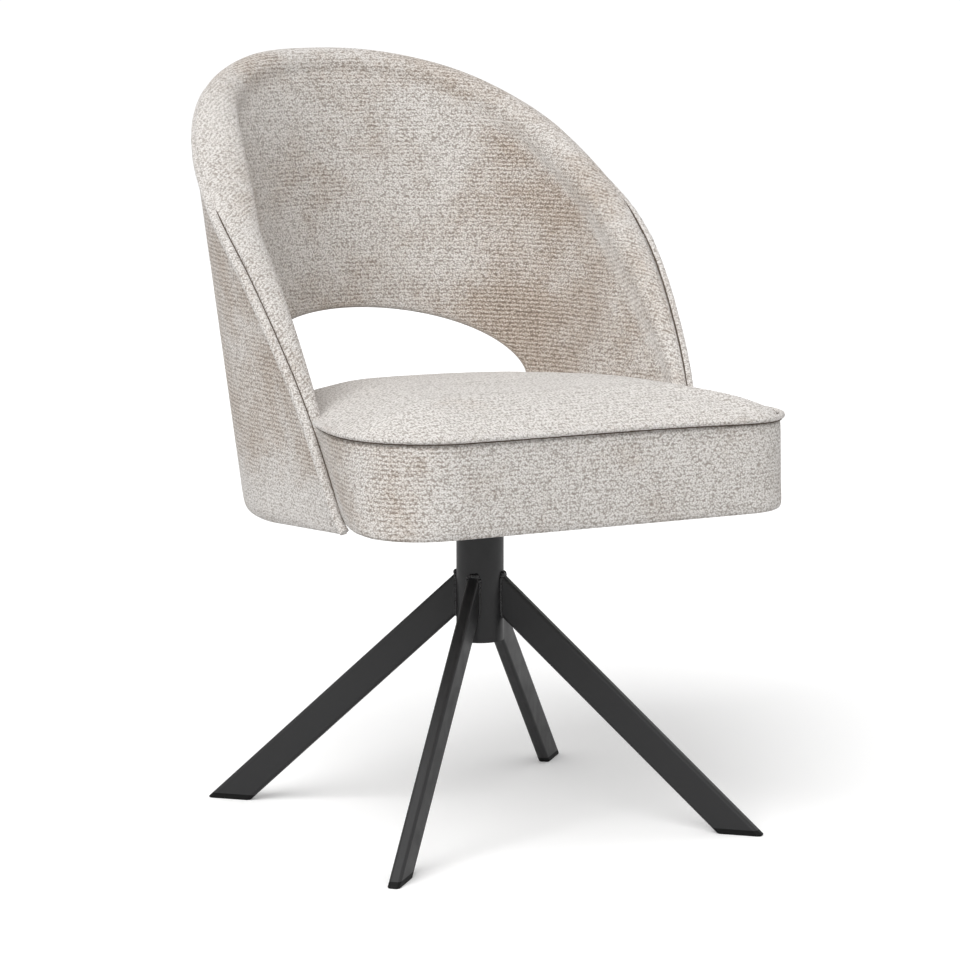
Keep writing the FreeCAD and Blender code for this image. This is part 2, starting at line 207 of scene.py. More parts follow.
def chenilleCloth(name, followsAttribute=True):
    # woven viscose chenille: grainy tufts in faint rows, a mottled nap, a dull sheen at the edges, and
    # painted shade and highlights on the tufts
    material, tree, shader = newMaterial(name)
    body = place = objectPlace(tree)
    if followsAttribute:
        place = addNode(tree, "ShaderNodeAttribute", attribute_name="weave").outputs["Vector"]
    split = addNode(tree, "ShaderNodeSeparateXYZ", {0: place})
    wander = noise(tree, place, chenille["wanderScale"], 3.0, 0.6)
    row = maths(tree, "MULTIPLY_ADD", wander, chenille["wander"], split.outputs[1])
    wave = maths(tree, "SINE", maths(tree, "MULTIPLY", row, 2 * math.pi / chenille["rowPitch"]))
    long = maths(tree, "MULTIPLY", split.outputs[0], chenille["stretch"])
    grid = addNode(tree, "ShaderNodeCombineXYZ", {0: long, 1: row, 2: split.outputs[2]})
    cells = {"Vector": grid.outputs[0], "Scale": 1 / chenille["tuft"], "Randomness": 0.85}
    tufts = addNode(tree, "ShaderNodeTexVoronoi", cells)
    fuzz = noise(tree, place, chenille["fuzzScale"], 3.0, 0.7)
    # brushed patches with ragged edges, on top of the nap that each piece carries, which on the back also
    # holds painted shade and painted bounce light
    patches = noise(tree, body, 1 / chenille["patch"], 5.0, 0.6, 0.3)
    ragged = noise(tree, place, chenille["raggedScale"], 4.0, 0.7)
    nap = addNode(tree, "ShaderNodeAttribute", attribute_name="nap").outputs["Fac"]
    gain = chenille["patchGain"]
    lying = maths(tree, "MULTIPLY_ADD", patches, gain, maths(tree, "ADD", nap, -gain / 2))
    gain = chenille["raggedGain"]
    lying = maths(tree, "MULTIPLY_ADD", ragged, gain, maths(tree, "ADD", lying, -gain / 2))
    lying = mapRange(tree, lying, 0.05, 0.95, interpolation_type="SMOOTHSTEP")
    # height of the pile: rows show where it lies flat
    rows = maths(tree, "MULTIPLY", wave, maths(tree, "MULTIPLY_ADD", lying, *chenille["rowShow"]))
    tall = maths(tree, "MULTIPLY_ADD", tufts.outputs["Distance"], -0.8, maths(tree, "ADD", rows, 0.75))
    tall = maths(tree, "MULTIPLY_ADD", fuzz, 0.75, maths(tree, "ADD", tall, -0.35))
    bumpNormal(tree, shader, chenille["bump"], chenille["depth"], tall)
    tone = mixColour(tree, lying, linearColour(chenille["pale"]), linearColour(chenille["deep"]))
    # painted shade: the hollows between the tufts are darkened towards a dark brown
    hollowShade = mapRange(tree, tall, 0.5, 0.12)
    hollowShade = maths(tree, "MULTIPLY", hollowShade, maths(tree, "MULTIPLY_ADD", lying, *chenille["hollowShow"]))
    sunk = mixColour(tree, hollowShade, tone, linearColour(chenille["pit"]))
    # painted highlight: the tops of the tufts are lightened towards a near white
    tipHighlight = mapRange(tree, tall, 0.5, 0.8, 0.0, 0.6)
    cloth = mixColour(tree, tipHighlight, sunk, linearColour(chenille["tip"]))
    tree.links.new(cloth, shader.inputs["Base Color"])
    shader.inputs["Roughness"].default_value = chenille["roughness"]
    shader.inputs["Sheen Weight"].default_value = chenille["sheen"]
    shader.inputs["Sheen Roughness"].default_value = 0.5
    shader.inputs["Specular IOR Level"].default_value = 0.2
    return material


def powderCoat(name, colour="#202021", roughness=0.42):
    # sprayed and baked polyester powder on steel: satin black with a faint orange peel
    material, tree, shader = newMaterial(name)
    place = objectPlace(tree)
    bumpNormal(tree, shader, 0.2, 0.0003, noise(tree, place, 900.0, 2.0))
    haze = noise(tree, place, 40.0, 4.0)
    rough = mapRange(tree, haze, 0.3, 0.7, roughness - 0.05, roughness + 0.07)
    tree.links.new(rough, shader.inputs["Roughness"])
    shader.inputs["Base Color"].default_value = linearColour(colour)
    return material


def mouldedNylon(name):
    # injection moulded black nylon: darker and duller than the coated steel
    material, tree, shader = newMaterial(name)
    bumpNormal(tree, shader, 0.2, 0.0002, noise(tree, objectPlace(tree), 1500.0, 2.0))
    shader.inputs["Base Color"].default_value = linearColour("#050505")
    shader.inputs["Roughness"].default_value = 0.6
    shader.inputs["Specular IOR Level"].default_value = 0.25
    return material


def zincSteel(name):
    # zinc plated steel fasteners: bright, a little cloudy
    material, tree, shader = newMaterial(name)
    cloud = noise(tree, objectPlace(tree), 300.0, 3.0)
    tree.links.new(mapRange(tree, cloud, 0.0, 1.0, 0.25, 0.45), shader.inputs["Roughness"])
    shader.inputs["Base Color"].default_value = linearColour("#B9BABC")
    shader.inputs["Metallic"].default_value = 1.0
    return material


def spunLining(name):
    # black non-woven polypropylene under the seat: tiny pressed points
    material, tree, shader = newMaterial(name)
    cells = {"Vector": objectPlace(tree), "Scale": 600.0, "Randomness": 0.2}
    points = addNode(tree, "ShaderNodeTexVoronoi", cells)
    bumpNormal(tree, shader, 0.5, 0.0004, points.outputs["Distance"])
    shader.inputs["Base Color"].default_value = linearColour("#161617")
    shader.inputs["Roughness"].default_value = 0.9
    return material


def seamShadowCord(name):
    # a dull dark brown cord along the stitch lines: painted shadow in the seams' grooves
    material, _, shader = newMaterial(name)
    shader.inputs["Base Color"].default_value = linearColour("#564B41")
    shader.inputs["Roughness"].default_value = 0.9
    return material


clothMaterial = chenilleCloth("wovenChenille")
seamShadowMaterial = seamShadowCord("spunPolyesterThread")
pipingMaterial = chenilleCloth("wovenChenilleOnCord", followsAttribute=False)
steelMaterial = powderCoat("powderCoatedSteel")
weldMaterial = powderCoat("powderCoatedWeld", colour="#242425", roughness=0.22)
nylonMaterial = mouldedNylon("mouldedNylon")
zincMaterial = zincSteel("zincPlatedSteel")
liningMaterial = spunLining("spunbondLining")
print("materials made")


# shape rules shared by the back and the seat, in metres about the swivel axis

seatBottomZ = 0.3754
seamZ = 0.4772

back = {
    "halfWidthLow": 0.2269, "halfWidthGrowth": 0.1376,
    "centreLow": 0.0934, "centreGrowth": -0.0282,
    "ellipse": 1.105,
    "leftLift": 0.0058, "rightDip": 0.0022, "rightBow": 0.0046,     # the two sides aren't quite alike
    "wall": 0.038, "tipWall": 0.0045, "tipY": -0.108,
    "rimY": (-0.118, -0.060, 0.0, 0.070, 0.150, 0.260, 0.430),
    "rimZ": (0.340, 0.472, 0.562, 0.645, 0.709, 0.787, 0.876),
    "footZ": 0.3438, "footBendY": 0.100, "footRise": 0.0170, "footFrontY": -0.118,
    "windowAngle": 59.8, "windowSill": 0.4540, "archFoot": 0.4792, "archRise": 0.0785, "windowFullness": 0.65,
    "windowColumns": 15, "sideColumns": 6, "frontColumns": 14,
    "lowerRows": 8, "upperRows": 16,
    "seamNear": 0.0026, "seamRear": 0.0078, "rollDrop": 0.031, "valley": 0.0040, "taper": 1.15,
    "leftRoll": 0.60, "rightRoll": 0.10,        # how far the roll swells over the inner face
}
# across the rim, from the outer seam over a soft roll to the inner face
rollShape = ((0.015, -0.0062), (0.035, -0.0026), (0.085, 0.0012), (0.20, 0.0038), (0.38, 0.0050),
             (0.57, 0.0044), (0.75, 0.0014), (0.90, -0.0040), (0.985, -0.0105), (1.0, -0.0175),
             (0.985, -0.0245))
# beside the sitter the seam lies in a crease at the rim's edge
creaseShape = ((0.02, -0.0026), (0.06, -0.0034), (0.115, 0.0004))
footShape = ((0.035, 0.0052), (0.11, 0.0012), (0.24, 0.0), (0.55, 0.0), (0.86, 0.0), (0.965, 0.0022))
edgeShape = (0.07, 0.24, 0.5, 0.76, 0.93)


def backHalfWidth(z):
    return back["halfWidthLow"] + back["halfWidthGrowth"] * (z - seatBottomZ)


def backCentre(z):
    return back["centreLow"] + back["centreGrowth"] * (z - seatBottomZ)


def splineBends(x, y):
    # second derivatives of the natural cubic spline
    n = len(x)
    h = np.diff(x)
    system, right = np.zeros((n, n)), np.zeros(n)
    system[0, 0] = system[-1, -1] = 1
    for k in range(1, n - 1):
        system[k, k - 1:k + 2] = h[k - 1], 2 * (h[k - 1] + h[k]), h[k]
        right[k] = 6 * ((y[k + 1] - y[k]) / h[k] - (y[k] - y[k - 1]) / h[k - 1])
    return np.linalg.solve(system, right)


rimYs, rimZs = np.array(back["rimY"]), np.array(back["rimZ"])
rimBends = splineBends(rimYs, rimZs)


def rimHeight(y):
    y = min(max(y, rimYs[0]), rimYs[-1])
    k = min(int(np.searchsorted(rimYs, y, side="right")) - 1, len(rimYs) - 2)
    h = rimYs[k + 1] - rimYs[k]
    a, b = (rimYs[k + 1] - y) / h, (y - rimYs[k]) / h
    bend = ((a ** 3 - a) * rimBends[k] + (b ** 3 - b) * rimBends[k + 1]) * h * h / 6
    return float(a * rimZs[k] + b * rimZs[k + 1] + bend)


def footHeight(y):
    share = (back["footBendY"] - y) / (back["footBendY"] - back["footFrontY"])
    return back["footZ"] + back["footRise"] * max(0.0, share)


def planPoint(column, z, share):
    # column is ("arc", angle from the rear) or ("line", share of the way to the tip), with a side
    kind, value, side = column[:3]
    wall = share * back["wall"]
    wide = backHalfWidth(z) - wall
    deep = back["ellipse"] * backHalfWidth(z) - wall
    centre = backCentre(z)
    if kind == "arc":
        return side * wide * math.sin(value), centre + deep * math.cos(value)
    lean = share * (back["wall"] - back["tipWall"]) * value ** back["taper"]
    if side > 0:
        wide += back["rightBow"] * math.sin(math.pi * min(value / 0.85, 1))
    return side * (wide + lean), centre - value * (centre - back["tipY"])


def columnTop(column):
    z = 0.7
    for _ in range(40):
        y = planPoint(column, z, 0)[1]
        z = (z + rimHeight(y)) / 2
    kind, value, side = column[:3]
    if kind == "arc" and side < 0:
        z += back["leftLift"] * float(ramp(value, 0.04, 0.40) * (1 - ramp(value, 0.75, 1.15)))
    if kind == "arc" and side > 0:
        z -= back["rightDip"] * float(ramp(value, 0.55, 0.85) * (1 - ramp(value, 1.15, 1.4)))
    return max(z, footHeight(y) + 0.014)


def backColumns():
    half = []
    n = back["windowColumns"]
    end = math.radians(back["windowAngle"])
    for k in range(n + 1):
        half.append(("arc", end * math.sin(math.pi / 2 * k / n), True))
    for k in range(1, back["sideColumns"] + 1):
        half.append(("arc", end + (math.pi / 2 - end) * k / back["sideColumns"], False))
    for k in range(1, back["frontColumns"] + 1):
        half.append(("line", 0.995 * k / back["frontColumns"], False))
    left = [(kind, value, -1, inWindow) for kind, value, inWindow in reversed(half[1:])]
    return left + [(kind, value, 1, inWindow) for kind, value, inWindow in half]


columns = backColumns()
columnTops = [columnTop(column) for column in columns]


def placed(column, z, share):
    x, y = planPoint(column, z, share)
    return Vector((x, y + axisY, z))


def seamTurn(y):
    # 0 beside the sitter, 1 at the rear where the seam sinks down the outer face
    return float(ramp(y, 0.06, 0.23))


def seamDepth(y):
    return back["seamNear"] + (back["seamRear"] - back["seamNear"]) * seamTurn(y)


def rollSwell(column):
    kind, value, side = column[:3]
    most = back["leftRoll"] if side < 0 else back["rightRoll"]
    if kind == "line":
        return 1 + 0.4 * most
    return 1 + most * float(ramp(value, 0.60, 1.15) * (1 - 0.6 * ramp(value, 1.28, 1.57)))


def rollPoint(k, y, swell):
    share, height = rollShape[k]
    share *= 1 + (swell - 1) * float(ramp(share, 0.05, 0.60))
    if k < len(creaseShape):
        t = seamTurn(y)
        return creaseShape[k][0] * (1 - t) + share * t, creaseShape[k][1] * (1 - t) + height * t
    return share, height


def rimFrame(c):
    # along the rim, the rim's outer edge, across the wall towards the sitter, and square to both
    low, high = max(c - 1, 0), min(c + 1, len(columns) - 1)
    ahead, behind = placed(columns[high], columnTops[high], 0), placed(columns[low], columnTops[low], 0)
    along = (ahead - behind).normalized()
    outer = placed(columns[c], columnTops[c], 0)
    across = placed(columns[c], columnTops[c], 1) - outer
    out = along.cross(across.normalized()).normalized()
    if out.z < 0:
        out = -out
    return along, outer, across, out


def windowSpan(column):
    foot, sill = back["archFoot"], back["windowSill"]
    w = min(column[1] / math.radians(back["windowAngle"]), 1.0)
    curl = max(0.0, (w - 0.93) / 0.07)
    low = sill + (foot - sill) * (1 - math.sqrt(max(0, 1 - curl * curl)))
    high = foot + back["archRise"] * max(0, 1 - w * w) ** back["windowFullness"]
    return low, high


def makeBack():
    lower, upper = back["lowerRows"], back["upperRows"]
    verts, weave, across = [], [], []
    index = {}
    middle = [placed(column, 0.6, 0.5) for column in columns]
    arcs = np.concatenate([[0], np.cumsum([(b - a).length for a, b in zip(middle, middle[1:])])])
    arcs -= arcs[len(columns) // 2]

    def put(key, point, uv, share):
        index[key] = len(verts)
        verts.append(point)
        weave.append(uv)
        across.append(share)

    for c, column in enumerate(columns):
        inWindow = column[3]
        top = columnTops[c]
        along, outer, wall, out = rimFrame(c)
        steep = 1 / max(math.hypot(along.x, along.y), 0.35)
        thick = wall.length / back["wall"]
        foot = footHeight(planPoint(column, 0.35, 0)[1])
        footRound = 0.012 * max(thick, 0.45)
        room = top - foot
        outerY, swell = outer.y - axisY, rollSwell(column)
        seam = top - min(seamDepth(outerY) * steep, 0.3 * room)
        innerTop = top - min(back["rollDrop"] * steep * thick, 0.45 * room)
        if inWindow:
            low, high = windowSpan(column)
        else:
            endTop = columnTops[len(columns) // 2 + back["windowColumns"]]
            share = (back["archFoot"] - back["footZ"]) / (endTop - back["footZ"])
            low = high = foot + share * room
        for face, share, first, last in (("out", 0, foot + footRound, seam),
                                         ("in", 1, foot + 0.4 * footRound, innerTop)):
            rows = [first + (low - first) * (1 - (1 - r / lower) ** 1.35) for r in range(lower + 1)]
            crowd = 1.2 if inWindow else 1
            rows += [high + (last - high) * (r / upper) ** crowd for r in range(upper + 1)]
            for r, z in enumerate(rows):
                sunk = 0
                if face == "in":
                    beside = 0.15 + 0.85 * float(ramp(-outer.x, 0.06, 0.20))
                    away = (z - innerTop + 0.006 * steep) / (0.016 * steep)
                    sunk = beside * back["valley"] * thick * math.exp(-away ** 2)
                point = placed(column, z, share - sunk / max(wall.length, 0.001))
                lit = 0.9 + 0.1 * float(ramp(innerTop - z, 0.0, 0.014 * steep)) if face == "in" else 0
                put((c, face, r), point, (arcs[c], z), lit)
        # the soft roll over the rim, and the cloth unfolded over it
        tilt = Vector((math.hypot(along.x, along.y), along.z))
        inner = verts[index[c, "in", lower + upper + 1]]
        reach, before = 0.0, inner
        for k in range(len(rollShape) - 1, -1, -1):
            share, height = rollPoint(k, outerY, swell)
            point = outer + wall * share + out * height * thick
            reach += (point - before).length
            before = point
            uv = arcs[c] - tilt.y * reach, innerTop + tilt.x * reach
            put((c, "roll", k), point, uv, 0.1 + 0.8 * k / (len(rollShape) - 1))
        for k, (share, height) in enumerate(footShape):
            z = foot + height * footRound / 0.012
            put((c, "foot", k), placed(column, z, share), (arcs[c], foot - share * wall.length), 0.0)
        if inWindow:
            for name, z, way in (("sill", low, 1), ("arch", high, -1)):
                for k, share in enumerate(edgeShape):
                    uv = arcs[c], z + way * share * wall.length
                    put((c, name, k), placed(column, z, share), uv, share)

    last = lower + upper + 1
    faces, corners = [], []
    outUp = [("out", r) for r in range(lower + 1, last + 1)]
    inUp = [("in", r) for r in range(lower + 1, last + 1)]
    outLow = [("out", r) for r in range(lower + 1)]
    inLow = [("in", r) for r in range(lower + 1)]
    roll = [("out", last)] + [("roll", k) for k in range(len(rollShape))] + [("in", last)]
    foot = [("out", 0)] + [("foot", k) for k in range(len(footShape))] + [("in", 0)]
    sill = [("out", lower)] + [("sill", k) for k in range(len(edgeShape))] + [("in", lower)]
    arch = [("out", lower + 1)] + [("arch", k) for k in range(len(edgeShape))] + [("in", lower + 1)]
    for a in range(len(columns) - 1):
        b = a + 1
        hole = columns[a][3] and columns[b][3]
        for section in [outUp, inUp, outLow, inLow, roll, foot] + ([sill, arch] if hole else []):
            for one, two in zip(section, section[1:]):
                quad = [index[a, *one], index[a, *two], index[b, *two], index[b, *one]]
                faces.append(quad)
                uvs = [weave[k] for k in quad]
                if section is roll and one == ("out", last):
                    # the panel seam: the roll's cloth starts here with its own grain
                    uvs[0], uvs[3] = uvs[1], uvs[2]
                corners.append(uvs)
    for c in (0, len(columns) - 1):
        ring = [index[c, "out", r] for r in range(last + 1)]
        ring += [index[c, "roll", k] for k in range(len(rollShape))]
        ring += [index[c, "in", r] for r in range(last, -1, -1)]
        ring += [index[c, "foot", k] for k in range(len(footShape) - 1, -1, -1)]
        faces.append(ring)
        corners.append([weave[k] for k in ring])
    obj = meshObject("backUpholstery", verts, faces)
    layer = obj.data.uv_layers.new(name="weave")
    layer.data.foreach_set("uv", [value for uvs in corners for uv in uvs for value in uv])
    pointAttribute(obj.data, "across", np.array(across))
    tidyNormals(obj)
    return obj


# how far the pile lies on each part of the back, with painted shade and painted floor bounce mixed in
backNapAndPaintedLight = {
    "inside": 0.22, "rightWing": 0.42, "wingFront": 0.35, "leftWing": 0.62, "overWindow": 0.14,
    "roll": 0.12, "rollRight": 0.18, "rollTop": 0.22,
    "outside": 0.56, "outsideLow": 0.58,
}


def paintBackNapAndLight(obj):
    # nap: 0 where the pile stands up pale, 1 where it lies dark; painted shade and painted bounce light ride
    # in the same value
    mesh = obj.data
    co = readVectors(mesh)
    across = np.empty(len(co))
    mesh.attributes["across"].data.foreach_get("value", across)
    angle = np.arctan2(co[:, 0], co[:, 1] - axisY - 0.09)
    height = co[:, 2]
    wing = 1 - backNapAndPaintedLight["wingFront"] * ramp(angle, 1.35, 1.75)
    inside = backNapAndPaintedLight["inside"] + backNapAndPaintedLight["rightWing"] * ramp(angle, 0.45, 0.85) * wing
    low = ramp(-height, -0.62, -0.56)
    low *= np.abs(angle) < 1.1
    # painted shade: the inner face of the left wing is darkened for its shadowed valley; the middle of the
    # inner face is also darker low down, above the seat
    inside += backNapAndPaintedLight["leftWing"] * ramp(-angle, 0.50, 0.95) + backNapAndPaintedLight["overWindow"] * low
    rolled = backNapAndPaintedLight["roll"] + backNapAndPaintedLight["rollRight"] * ramp(angle, 0.2, 0.9)
    # painted shade: the top of the rim is darkened
    rolled += backNapAndPaintedLight["rollTop"] * ramp(height, 0.78, 0.85)
    # painted light: the outer face turns paler towards its bottom, for light bounced up from the floor
    outside = backNapAndPaintedLight["outside"] - backNapAndPaintedLight["outsideLow"] * ramp(-height, -0.44, -0.37)
    # from the outer face over the roll to the inner face
    toInside, toRoll = ramp(across, 0.88, 1.0), ramp(across, 0.04, 0.12)
    nap = inside * toInside + rolled * (1 - toInside) * toRoll
    nap += outside * (1 - toRoll)
    pointAttribute(mesh, "nap", nap)


backUpholstery = makeBack()
rounding = backUpholstery.modifiers.new("rounding", "SUBSURF")
rounding.levels = rounding.render_levels = 2
bakeModifiers(backUpholstery)
paintBackNapAndLight(backUpholstery)
giveMaterial(backUpholstery, clothMaterial)
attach(backUpholstery, "seat")
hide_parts("back_outer_cover", "back_ply_shell", "back_foam", "back_inner_cover",
            "back_screws")
print("back upholstered", len(backUpholstery.data.polygons))


# seat cushion

seat = {
    "front": 0.275, "tipLow": -0.106, "tipHigh": -0.064, "bulgeLow": -0.205, "bulgeHigh": -0.170,
    "tipWall": 0.0018,
    "halfWidth": {1: 0.254, -1: 0.254}, "swell": {1: -0.002, -1: 0.007},        # right and left
    "cornerLow": {1: 0.062, -1: 0.066}, "cornerHigh": {1: 0.062, -1: 0.098},
    "crown": 0.0290, "crownReach": 0.107, "crownPower": 2.3,
    "rearFall": 0.0268, "fallFromY": -0.075, "fallLength": 0.323,
    "bottomRound": 0.006, "bottomDrop": 0.0016, "gap": 0.0008,
    "voxel": 0.005, "pressure": 4.0, "frames": 20,
    "capTop": 0.0036, "capSide": 0.003, "capHidden": 0.0004,
    "groove": 0.0026,
    "napTop": -0.26, "napSpot": 0.56, "spot": (-0.12, -0.19), "spotSize": (0.06, 0.05),
    "napSide": 0.10, "napLeft": 0.28,
}


def halfPlan(z, inset, side):
    # from the middle of the front round the corner, past the shell's tip to the middle of the rear
    front = -seat["front"] + inset
    level = min(max(z, seatBottomZ), seamZ)
    up = (level - seatBottomZ) / (seamZ - seatBottomZ)
    wide = seat["halfWidth"][side] + seat["swell"][side] * up - inset
    radius = max(seat["cornerLow"][side] * (1 - up) + seat["cornerHigh"][side] * up - inset, 0.008)
    rearWide = backHalfWidth(level) - back["wall"] - seat["gap"] - inset
    rearDeep = back["ellipse"] * backHalfWidth(level) - back["wall"] - seat["gap"] - inset
    tipWide = backHalfWidth(level) - seat["tipWall"] - inset
    centre = backCentre(level)
    tipY = seat["tipLow"] + (seat["tipHigh"] - seat["tipLow"]) * up
    bulgeY = seat["bulgeLow"] + (seat["bulgeHigh"] - seat["bulgeLow"]) * up
    points = [((wide - radius) * k / 8, front) for k in range(8)]
    for k in range(11):
        turn = math.pi / 2 * k / 10
        points.append((wide - radius + radius * math.sin(turn), front + radius - radius * math.cos(turn)))
    for k in range(1, 4):
        points.append((wide, front + radius + (bulgeY - front - radius) * k / 4))
    for k in range(7):
        points.append((tipWide + (wide - tipWide) * (1 - (k / 7) ** 1.6), bulgeY + (tipY - bulgeY) * k / 7))
    for k in range(12):
        t = k / 12
        points.append((tipWide + (rearWide - tipWide) * t, tipY + (centre - tipY) * t))
    for k in range(17):
        turn = math.pi / 2 * k / 16
        points.append((rearWide * math.cos(turn), centre + rearDeep * math.sin(turn)))
    return [(side * x, y + axisY, z) for x, y in points]


def seatPlan(z, inset):
    right, left = halfPlan(z, inset, 1), halfPlan(z, inset, -1)
    return right + left[-2:0:-1]


def rearSink(y):
    return seat["rearFall"] * max(0.0, (y - seat["fallFromY"]) / seat["fallLength"]) ** 1.5


def crownHeight(inset, y):
    # a full dome that sinks towards the back of the seat
    rise = seat["crown"] * (1 - (1 - min(inset / seat["crownReach"], 1)) ** seat["crownPower"])
    return seamZ + rise - rearSink(y)


def makeSeat():
    r = seat["bottomRound"]
    low = seatBottomZ - seat["bottomDrop"]
    levels = [(low, r + 0.045, 0), (low, 0.5 * r, 0), (low + 0.0014, 0.0, 0), (low + r, -0.0008, 0)]
    levels += [(low + 0.03, 0.0, 0), (seamZ - 0.02, 0.0, 0.6), (seamZ - 0.004, 0.0002, 1), (seamZ, 0.0014, 1)]
    rings = []
    for z, inset, share in levels:
        rings.append([(x, y, z - share * rearSink(y - axisY)) for x, y, z in seatPlan(z, inset)])
    for inset in (0.005, 0.010, 0.018, 0.030, 0.046, 0.066, 0.090, 0.107):
        rings.append([(x, y, crownHeight(inset, y - axisY)) for x, y, z in seatPlan(seamZ, inset)])
    inner, middle = rings[-1], axisY + 0.01
    for share in (0.66, 0.33, 0.05):
        ring = [(x * share, middle + (y - middle) * share) for x, y, z in inner]
        rings.append([(x, y, crownHeight(seat["crownReach"], y - axisY)) for x, y in ring])
    count = len(rings[0])
    faces = []
    for k in range(len(rings) - 1):
        for j in range(count):
            i = (j + 1) % count
            faces.append((k * count + j, k * count + i, (k + 1) * count + i, (k + 1) * count + j))
    faces.append(range(count))
    faces.append([(len(rings) - 1) * count + j for j in range(count)])
    obj = meshObject("seatCushion", [p for ring in rings for p in ring], faces)
    tidyNormals(obj)
    return obj


def inflate(obj):
    # foam under cloth: sewn at the seam and stapled below, puffed up by a little pressure
    remesh = obj.modifiers.new("even", "REMESH")
    remesh.mode, remesh.voxel_size = "VOXEL", seat["voxel"]
    bakeModifiers(obj)
    start = readVectors(obj.data)
    normal = readVectors(obj.data, "normal")
    seamHere = seamZ - np.array([rearSink(y - axisY) for y in start[:, 1]])
    seam = (np.abs(start[:, 2] - seamHere) < 0.0035) & (np.abs(normal[:, 2]) < 0.97)
    held = (start[:, 2] < seatBottomZ + 0.012) | seam
    group = obj.vertex_groups.new(name="sewn")
    group.add([int(k) for k in np.nonzero(held)[0]], 1.0, "REPLACE")
    cloth = obj.modifiers.new("cloth", "CLOTH")
    cloth.settings.quality = 5
    cloth.settings.mass = 0.3
    cloth.settings.tension_stiffness = cloth.settings.compression_stiffness = 15
    cloth.settings.bending_stiffness = 2.0
    cloth.settings.use_pressure = True
    cloth.settings.uniform_pressure_force = seat["pressure"]
    cloth.settings.effector_weights.gravity = 0
    cloth.settings.vertex_group_mass = "sewn"
    cloth.collision_settings.use_collision = False
    scene = bpy.context.scene
    for k in range(1, seat["frames"] + 1):
        scene.frame_set(k)
    bakeModifiers(obj)
    scene.frame_set(1)
    move = readVectors(obj.data) - start
    cap = np.where(start[:, 2] > seamZ + 0.002, seat["capTop"], seat["capSide"])
    hidden = (start[:, 1] - axisY > -0.10) & (start[:, 2] < seamHere + 0.004)
    cap = np.where(hidden, seat["capHidden"], cap)
    size = np.linalg.norm(move, axis=1) + 1e-9
    limited = cap * np.tanh(size / cap) / size
    obj.data.vertices.foreach_set("co", (start + move * limited[:, None]).ravel())
    obj.data.update()


def pressSeam(obj):
    # the stitch line under the piping pulls the border in
    co, normal = readVectors(obj.data), readVectors(obj.data, "normal")
    below = seamZ - 0.0018 - co[:, 2]
    sewn = (np.abs(normal[:, 2]) < 0.8) * (co[:, 1] - axisY < -0.075)
    pull = seat["groove"] * np.exp(-(below / 0.0022) ** 2) * sewn
    flat = normal * [1, 1, 0]
    obj.data.vertices.foreach_set("co", (co - flat * pull[:, None]).ravel())
    obj.data.update()


def brushSeat(obj):
    mesh = obj.data
    co = readVectors(mesh)
    y = co[:, 1] - axisY
    onTop = co[:, 2] > seamZ + 0.0012 - np.array([rearSink(v) for v in y])
    ring = np.array(seatPlan(seamZ, 0.0))[:, :2]
    ends = np.roll(ring, -1, axis=0)
    lengths = np.linalg.norm(ends - ring, axis=1)
    starts = np.concatenate([[0], np.cumsum(lengths)[:-1]])
    best, arc = np.full(len(co), 9.0), np.zeros(len(co))
    for k in range(len(ring)):
        way = (ends[k] - ring[k]) / lengths[k]
        t = np.clip((co[:, :2] - ring[k]) @ way, 0, lengths[k])
        gap = np.linalg.norm(co[:, :2] - ring[k] - t[:, None] * way, axis=1)
        near = gap < best
        best[near], arc[near] = gap[near], (starts[k] + t)[near]
    arc -= lengths.sum() * (arc > lengths.sum() / 2)
    weave = np.where(onTop[:, None], co * [1, 0.65, 1], np.stack([arc, co[:, 2], np.zeros(len(co))], 1))
    pointAttribute(mesh, "weave", weave)
    # one crushed spot on the top, and darker on the left side
    (spotX, spotY), (wide, deep) = seat["spot"], seat["spotSize"]
    crushed = np.exp(-(((co[:, 0] - spotX) / wide) ** 2 + ((y - spotY) / deep) ** 2))
    side = seat["napSide"] + seat["napLeft"] * ramp(-co[:, 0], 0.18, 0.24)
    pointAttribute(mesh, "nap", np.where(onTop, seat["napSpot"] * crushed + seat["napTop"], side))


seatCushion = makeSeat()
inflate(seatCushion)
for kind in ("SMOOTH", "SUBSURF"):
    extra = seatCushion.modifiers.new("soft", kind)
    if kind == "SMOOTH":
        extra.factor, extra.iterations = 0.5, 3
    else:
        extra.levels = extra.render_levels = 1
bakeModifiers(seatCushion)
seatCushion.data.polygons.foreach_set("use_smooth", [True] * len(seatCushion.data.polygons))
pressSeam(seatCushion)
brushSeat(seatCushion)
giveMaterial(seatCushion, clothMaterial)
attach(seatCushion, "seat")
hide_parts("seat_foam", "seat_top_cover", "seat_border_cover")
print("seat cushion made", len(seatCushion.data.polygons))


# piping, weld beads and staples by geometry nodes

def newTree(name, inputs):
    tree = bpy.data.node_groups.new(name, "GeometryNodeTree")
    tree.interface.new_socket("Geometry", in_out="INPUT", socket_type="NodeSocketGeometry")
    for label, kind in inputs:
        tree.interface.new_socket(label, in_out="INPUT", socket_type=kind)
    tree.interface.new_socket("Geometry", in_out="OUTPUT", socket_type="NodeSocketGeometry")
    return tree, addNode(tree, "NodeGroupInput"), addNode(tree, "NodeGroupOutput")


def evenCurve(tree, given):
    curve = addNode(tree, "GeometryNodeMeshToCurve", {0: given.outputs["Geometry"]})
    values = {"Curve": curve.outputs[0], "Length": given.outputs["Step"]}
    return addNode(tree, "GeometryNodeResampleCurve", values, mode="LENGTH").outputs[0]


def finishTree(tree, out, geometry, material):
    dressed = addNode(tree, "GeometryNodeSetMaterial", {"Geometry": geometry, "Material": material})
    tree.links.new(dressed.outputs[0], out.inputs[0])
    return tree


